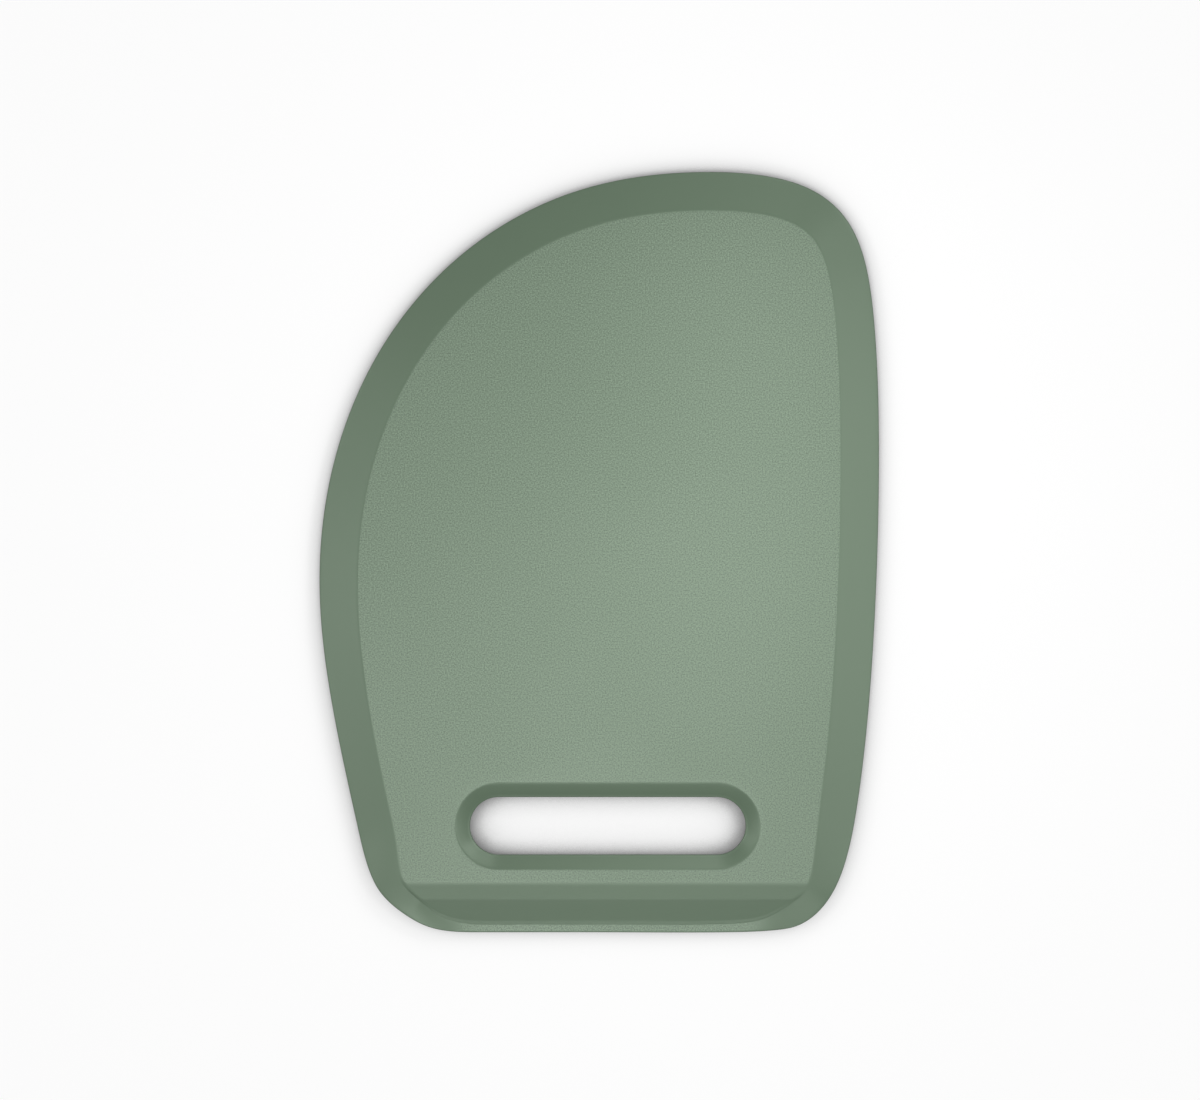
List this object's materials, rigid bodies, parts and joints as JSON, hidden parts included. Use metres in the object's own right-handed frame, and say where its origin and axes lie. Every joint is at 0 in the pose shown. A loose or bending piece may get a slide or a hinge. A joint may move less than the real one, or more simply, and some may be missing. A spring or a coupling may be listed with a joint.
{
  "type": "dough scraper",
  "caption": "Flat D-shaped dough scraper with bevelled curved edge, straight scraping lip and hanging slot.",
  "frame": {"origin": "middle of the outline's box, on the back face that the scraper lies on", "axes": "+Z out of the front face, +Y from the straight scraping edge to the top of the curve, +X to the right seen from the front"},
  "size_m": [0.1178, 0.1601, 0.006],
  "materials": {
    "overmould": "matt sage-green silicone, finely grained on the flat faces and the lip, smoother on the bevels",
    "core_plate": "plain moulded nylon, hidden inside the body"
  },
  "bodies": {
    "root": {"overmould": "overmould", "core_plate": "core_plate"}
  },
  "joints": []
}
